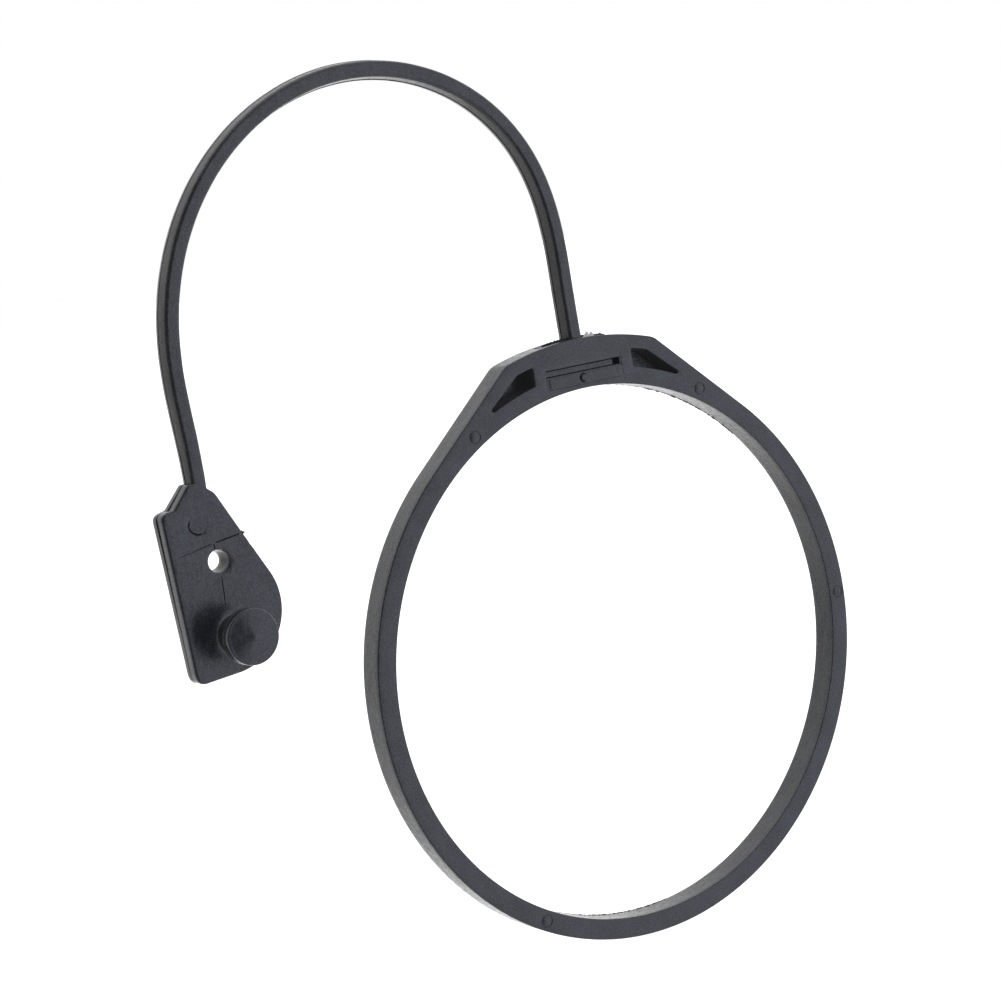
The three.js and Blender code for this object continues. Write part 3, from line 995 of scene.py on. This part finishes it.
def build_strap():
    """One piece per joint, each from halfway to the last bend to halfway to the next."""
    last = len(CHAIN) - 1
    for i, joint in enumerate(CHAIN):
        here = BEND_LENGTHS[i]
        before = STRAP_START if i == 0 else (BEND_LENGTHS[i - 1] + here) / 2
        after = STRAP_END if i == last else (BEND_LENGTHS[i + 1] + here) / 2
        name = f"strap_skin_{i + 1:02d}"
        piece = finish_piece(name, strap_mesh(name, before, after), STRAP_PLASTIC,
                             sharp=50, weighted=False)
        if i == 0:
            start, end = here - min(here - before, after - here) * 0.9, here + 2.2
        elif i == last:
            start, end = here - 2.2, here + 0.55
        else:
            start, end = before, after
        strap_point(start)
        strap_point(end)
        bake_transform(piece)
        if i < last:
            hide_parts(f"strap_link_{i + 1:02d}")


build_strap()

# ---------------------------------------------------------------- end plate with its plug

PLATE_FRONT = 2.55
PARTING = PLATE_BACK + 0.9  # z of the parting line round the plate's wall
PLATE_STEP = 0.16
LOBE = (-51.5, 16.5, 7.0)  # x, y, radius
HOLE_CENTRE = (-51.31, 22.15)
HOLE_R = 1.29
MARK_CENTRE = (-53.02, 26.60)
PLUG_CENTRE = (-51.13, 13.92)
PLUG_NECK_R = 2.0
PLUG_FILLET = 0.75
PLUG_POINT_R = 2.82
NICK = (-47.0, 23.4)

# the plate's upper left corner, (x, y)
BACK_CORNER = [
    (-53.46, 31.05), (-55.62, 28.74), (-55.97, 28.62), (-56.65, 28.46),
    (-57.0, 28.30), (-57.22, 28.02), (-57.28, 27.6),
]
FRONT_CORNER = [
    (-53.4, 31.05), (-55.58, 28.62), (-56.3, 28.60),
    (-56.85, 28.40), (-57.12, 28.06), (-57.16, 27.7),
]


def plate_outline(corner):
    x, y, radius = LOBE
    return (
        corner
        + [(-56.36, 10.35), (-56.2, 9.72), (-55.85, 9.35), (-55.3, 9.22)]
        + arc(x, y, radius, -86, 26.6, 60)
        + [(-47.85, 24.7), (-50.22, 29.4), (-50.42, 29.68), (-51.2, 30.3), (-51.25, 31.05)]
    )


def plate_wall(skin):
    """The wall with its rounded rims, a nick and the parting line. Returns its end loops."""
    outline, normals = soft_outline(plate_outline(FRONT_CORNER), PLATE_STEP, blur=0.12)
    nick = np.array([
        0.10 * math.exp(-(((x - NICK[0]) / 0.18) ** 2 + ((y - NICK[1]) / 0.22) ** 2))
        for x, y in outline
    ])
    outline = outline - normals * nick[:, None]
    # the front rim is rounded, except where the strap runs on into the face
    strap_x, strap_y = strap_at(BEND_LENGTHS[-1] + 0.5)[0]
    x, y = outline[:, 0], outline[:, 1]
    across = np.abs((x - strap_x) - 0.22 * (y - strap_y))
    near = np.clip((1.05 - across) / 0.3, 0, 1) * (y > 29.9)
    radius = 0.25 * (1 - near) + 0.004
    rows = []
    for k in range(6):
        angle = math.pi / 2 * k / 5
        inset = (radius * (1 - math.sin(angle)))[:, None]
        rows.append((outline - normals * inset, PLATE_FRONT - radius * (1 - math.cos(angle))))

    back, back_normals = soft_outline(
        plate_outline(BACK_CORNER), PLATE_STEP, blur=0.14, count=len(outline),
    )
    groove = outline - normals * 0.055
    drafted = back + back_normals * 0.015
    rows += [
        (outline, 1.95), (outline, PARTING + 0.05), (groove, PARTING + 0.015),
        (groove, PARTING - 0.02), (back, PARTING - 0.06), (drafted, 0.8),
    ]
    rows += roundover(drafted, back_normals, 0.13, PLATE_BACK, back=True)[::-1]
    loops = skin.loft(rows)
    return loops[0], loops[-1]


def plate_hole(skin):
    """The through hole, narrowing towards the back. Returns its front and back loops."""
    # radius from HOLE_R, z
    profile = (
        (0.05, PLATE_FRONT), (0.03, PLATE_FRONT - 0.01), (0.01, PLATE_FRONT - 0.03),
        (0, PLATE_FRONT - 0.07), (-0.06, 1.9), (-0.15, 1.3), (-0.21, 0.9),
        (-0.25, PLATE_BACK + 0.07), (-0.23, PLATE_BACK + 0.02), (-0.18, PLATE_BACK),
    )
    centre, circle = np.array(HOLE_CENTRE), unit_circle(72)
    loops = skin.loft([(centre + circle * (HOLE_R + grow), z) for grow, z in profile])
    return loops[0], loops[-1]


def plate_mark(skin):
    """An ejector mark: a disc whose rim is pressed in at the left and below. Returns its rim."""
    disc = unit_circle(48)
    degrees = np.degrees(np.arctan2(disc[:, 1], disc[:, 0]))
    pressed = np.exp(-(((degrees + 132 + 180) % 360 - 180) / 66.0) ** 4)
    # radius, depth where pressed in, depth all round
    profile = (
        (1.24, 0, 0), (1.20, 0.07, 0.002), (1.155, 0.17, 0.004),
        (1.10, 0.13, 0.005), (1.02, 0.03, 0.006),
    )
    centre = np.array(MARK_CENTRE)
    loops = skin.loft([
        (centre + disc * radius, PLATE_FRONT + (-deep * pressed - shallow))
        for radius, deep, shallow in profile
    ])
    skin.region(loops[-1], z=PLATE_FRONT - 0.006)
    return loops[0]


def witness_line(skin, start, end, half, depth, wander=0.0, count=14, fade=(1.0, 1.0)):
    """A closed sliver in the front face whose middle is sunk. Returns its rim.

    half is its half width; fade scales its depth from start to end.
    """
    start, end = np.array(start), np.array(end)
    along = (end - start) / np.linalg.norm(end - start)
    normal = np.array((-along[1], along[0]))
    middles, lefts, rights = [], [], []
    for k in range(1, count):
        t = k / count
        place = start + (end - start) * t + normal * wander * jitter(t * 4.0, start[0])
        wide = half * (0.55 + 0.45 * math.sin(math.pi * t)) * (1 + 0.35 * jitter(t * 9.0, start[1]))
        deep = depth * (fade[0] + (fade[1] - fade[0]) * t)
        middles.append((*place, PLATE_FRONT - deep))
        lefts.append((*(place + normal * wide), PLATE_FRONT))
        rights.append((*(place - normal * wide), PLATE_FRONT))
    first, last = skin.add([(*start, PLATE_FRONT), (*end, PLATE_FRONT)])
    left, right, middle = skin.add(lefts), skin.add(rights), skin.add(middles)
    for k in range(len(middle) - 1):
        skin.faces.append((left[k], left[k + 1], middle[k + 1], middle[k]))
        skin.faces.append((middle[k], middle[k + 1], right[k + 1], right[k]))
    skin.faces.append((first, left[0], middle[0]))
    skin.faces.append((first, middle[0], right[0]))
    skin.faces.append((last, middle[-1], left[-1]))
    skin.faces.append((last, right[-1], middle[-1]))
    return [first] + right + [last] + left[::-1]


# witness lines of the mould's insert
WITNESS_LINES = (
    dict(start=(-48.24, 24.63), end=(-51.47, 24.20), half=0.085, depth=0.14, wander=0.03,
         fade=(1.0, 0.9)),
    dict(start=(-51.62, 24.19), end=(-56.10, 23.40), half=0.07, depth=0.085, wander=0.05,
         fade=(1.0, 0.5)),
    dict(start=(-51.56, 24.17), end=(-51.50, 23.48), half=0.085, depth=0.13, count=6,
         fade=(0.8, 1.0)),
    dict(start=(-51.27, 20.62), end=(-51.42, 17.15), half=0.075, depth=0.11, wander=0.03,
         fade=(0.7, 1.0)),
)


def plug(skin):
    """The mushroom plug: fillet, neck, flared underside, lipped rim and low point.

    Returns the loop where it meets the plate.
    """
    rim = PLUG_RIM
    under = rim - 1.5
    # radius, z
    profile = [(PLUG_NECK_R + PLUG_FILLET, PLATE_FRONT)]
    profile += [
        (PLUG_NECK_R + PLUG_FILLET * (1 - math.cos(a)),
         PLATE_FRONT + PLUG_FILLET * (1 - math.sin(a)))
        for a in np.radians(np.linspace(90, 0, 8)[1:])
    ]
    profile += [
        (PLUG_NECK_R, 4.2), (PLUG_NECK_R, under - 0.40), (2.08, under - 0.22),
        (2.30, under - 0.06), (2.62, under), (2.98, under), (3.08, under + 0.03),
        (3.135, under + 0.09), (3.155, under + 0.17), (3.15, rim - 1.06), (3.105, rim - 1.02),
        (3.105, rim - 0.97), (3.135, rim - 0.93), (3.13, rim - 0.22), (3.115, rim - 0.12),
        (3.07, rim - 0.035), (3.00, rim), (2.90, rim + 0.004), (PLUG_POINT_R, rim + 0.012),
    ]
    for k in range(1, 12):
        t = k / 12
        profile.append((PLUG_POINT_R * (1 - t), rim + 0.012 + (PLUG_POINT - 0.012) * t))
    centre, circle = np.array(PLUG_CENTRE), unit_circle(96)
    loops = skin.loft([(centre + circle * radius, z) for radius, z in profile])
    skin.fan(loops[-1], (*PLUG_CENTRE, rim + PLUG_POINT - 0.004))
    return loops[0]


def build_plate():
    skin = Skin()
    front, back = plate_wall(skin)
    hole_front, hole_back = plate_hole(skin)
    holes = [hole_front, plate_mark(skin)]
    holes += [witness_line(skin, **line) for line in WITNESS_LINES]
    holes.append(plug(skin))
    skin.region(
        front, holes, z=PLATE_FRONT, grid=0.55,
        shape=lambda x, y: PLATE_FRONT + 0.010 * jitter(x, y, 1.0, 0.45) - 0.004,
    )
    skin.region(back, [hole_back], z=PLATE_BACK, grid=0.8)
    mesh = skin.mesh("end_plate_skin")
    plate = finish_piece("end_plate_moulding", mesh, TETHER_PLASTIC)
    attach(plate, "plate")
    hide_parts("end_plate")


def build_plate_burr():
    """A torn scrap of flash where the insert's line runs out at the plate's edge."""
    skin = Skin()
    sections = []
    for k in range(9):
        t = k / 8
        x, y = -47.86 + 0.13 * math.sin(6 * t), 24.45 + 0.42 * t
        height = 0.05 + 0.30 * math.sin(math.pi * t) * (0.7 + 0.5 * jitter(t * 7, 3.3))
        sections.append(skin.add([
            (x - 0.12, y, 1.9), (x - 0.12, y, 2.5),
            (x + height, y + 0.03, 2.42), (x + height * 0.8, y, 2.05),
        ]))
    skin.bar(sections)
    mesh = skin.mesh("plate_burr", merge=1e-5)
    burr = finish_piece("plate_burr", mesh, FLASH_AND_SHADE_PLASTIC, sharp=60,
                        weighted=False)
    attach(burr, "plate")


build_plate()
build_plate_burr()

# ---------------------------------------------------------------- floor
# From here on, places are in world metres.

FLOOR_RADIUS = 6.0
FLOOR_GAP = 0.00002  # below the lowest point of the product


def paper_material():
    """Glowing paper that only the camera sees; reflections look past it to the tent below."""
    material = bpy.data.materials.new("floor_paper")
    graph = Graph(material)
    paper = graph.tree.nodes["Principled BSDF"]
    for name, value in {
        "Base Color": (0.30, 0.30, 0.30, 1),
        "Roughness": 0.9,
        "Specular IOR Level": 0.1,
        "Emission Color": (1, 1, 1, 1),
        "Emission Strength": 1.15,
    }.items():
        paper.inputs[name].default_value = value
    clear = graph.node("ShaderNodeBsdfTransparent").outputs[0]
    surface = graph.mix_shaders(graph.camera_ray(), clear, paper.outputs[0])
    graph.tree.links.new(surface, graph.tree.nodes["Material Output"].inputs["Surface"])
    return material


def build_floor():
    mesh = bpy.data.meshes.new("floor")
    bm = bmesh.new()
    bmesh.ops.create_circle(bm, cap_ends=True, segments=128, radius=FLOOR_RADIUS)
    bmesh.ops.translate(bm, verts=bm.verts, vec=(0, 0, CAD_BOUNDS[0].z - FLOOR_GAP))
    bm.to_mesh(mesh)
    bm.free()
    floor = bpy.data.objects.new("floor", mesh)
    bpy.context.scene.collection.objects.link(floor)
    mesh.materials.append(paper_material())


build_floor()

# ---------------------------------------------------------------- light


def build_world():
    """Plain white for the camera; for all else a white tent with lighter and darker areas."""
    studio = bpy.data.worlds.new("studio")
    bpy.context.scene.world = studio
    graph = Graph(studio)
    graph.tree.nodes.clear()
    where = graph.node("ShaderNodeTexCoord").outputs["Generated"]

    def glow(direction, near, far, within, beyond):
        """From within, up to near degrees off a direction, to beyond, from far degrees off it."""
        aim = tuple(Vector(direction).normalized())
        dot = graph.node("ShaderNodeVectorMath", {0: where, 1: aim}, operation="DOT_PRODUCT")
        return graph.ramp(
            dot.outputs["Value"], math.cos(math.radians(far)), math.cos(math.radians(near)),
            at_low=beyond, at_high=within,
        )

    strength = graph.add(
        # the dark opening that the camera looks through
        glow((-0.53, -0.84, 0.10), near=41, far=58, within=0.14, beyond=1.15),
        # the backdrop opposite it
        glow((0.52, 0.79, -0.36), near=8, far=46, within=1.05, beyond=0.0),
        # a brighter area at the front right
        glow((0.50, -0.86, -0.10), near=12, far=31, within=0.36, beyond=0.0),
        # a darker area at the back left
        glow((-0.82, 0.57, 0.0), near=8, far=23, within=-0.55, beyond=0.0),
    )
    # cooler light from the front right
    cool = glow((0.60, -0.79, -0.12), near=40, far=85, within=1.0, beyond=0.0)
    colour = graph.mix((1.0, 1.0, 1.0, 1), (0.94, 0.985, 1.14, 1), cool)
    tent = graph.node("ShaderNodeBackground", {"Color": colour, "Strength": strength})
    seen = graph.node("ShaderNodeBackground", {"Color": (1, 1, 1, 1), "Strength": 1.0})
    surface = graph.mix_shaders(graph.camera_ray(), tent.outputs[0], seen.outputs[0])
    graph.node("ShaderNodeOutputWorld", {"Surface": surface})


def softbox(name, aim, offset, size, power):
    """A rectangular light at an offset from the point it aims at."""
    light = bpy.data.lights.new(name, "AREA")
    light.shape = "RECTANGLE"
    light.size, light.size_y = size
    light.energy = power
    holder = bpy.data.objects.new(name, light)
    bpy.context.scene.collection.objects.link(holder)
    where = Vector([a + b for a, b in zip(aim, offset)])
    holder.location = where
    holder.rotation_mode = "QUATERNION"
    holder.rotation_quaternion = (aim - where).to_track_quat("-Z", "Y")


build_world()
middle = (CAD_BOUNDS[0] + CAD_BOUNDS[1]) / 2
softbox("top_softbox", middle, offset=(0, 0.15, 0.6), size=(0.9, 0.7), power=1.2)
softbox("side_softbox", middle, offset=(-0.6, 0.25, 0.15), size=(0.6, 0.8), power=0.12)

# ---------------------------------------------------------------- camera and render settings

CAMERA_PLACE = (-0.164309, -0.241436, 0.088646)
# the camera's own axes in the world: right, up and behind
CAMERA_AXES = (
    (0.8259272, -0.5413474, -0.1574397),
    (0.1959948, 0.0138666, 0.9805069),
    (-0.5286117, -0.8406847, 0.1175541),
)


def build_camera():
    lens = bpy.data.cameras.new("camera")
    lens.sensor_width = 36
    lens.lens = 86.846
    lens.clip_start, lens.clip_end = 0.01, 50
    camera = bpy.data.objects.new("camera", lens)
    bpy.context.scene.collection.objects.link(camera)
    placing = Matrix(CAMERA_AXES).transposed().to_4x4()
    placing.translation = Vector(CAMERA_PLACE)
    camera.matrix_world = placing
    bpy.context.scene.camera = camera


build_camera()
scene = bpy.context.scene
scene.view_settings.view_transform = "Standard"
scene.view_settings.look = "None"
scene.view_settings.exposure = 0.0
scene.view_settings.gamma = 1.0
scene.cycles.max_bounces = 8

bpy.context.view_layer.update()
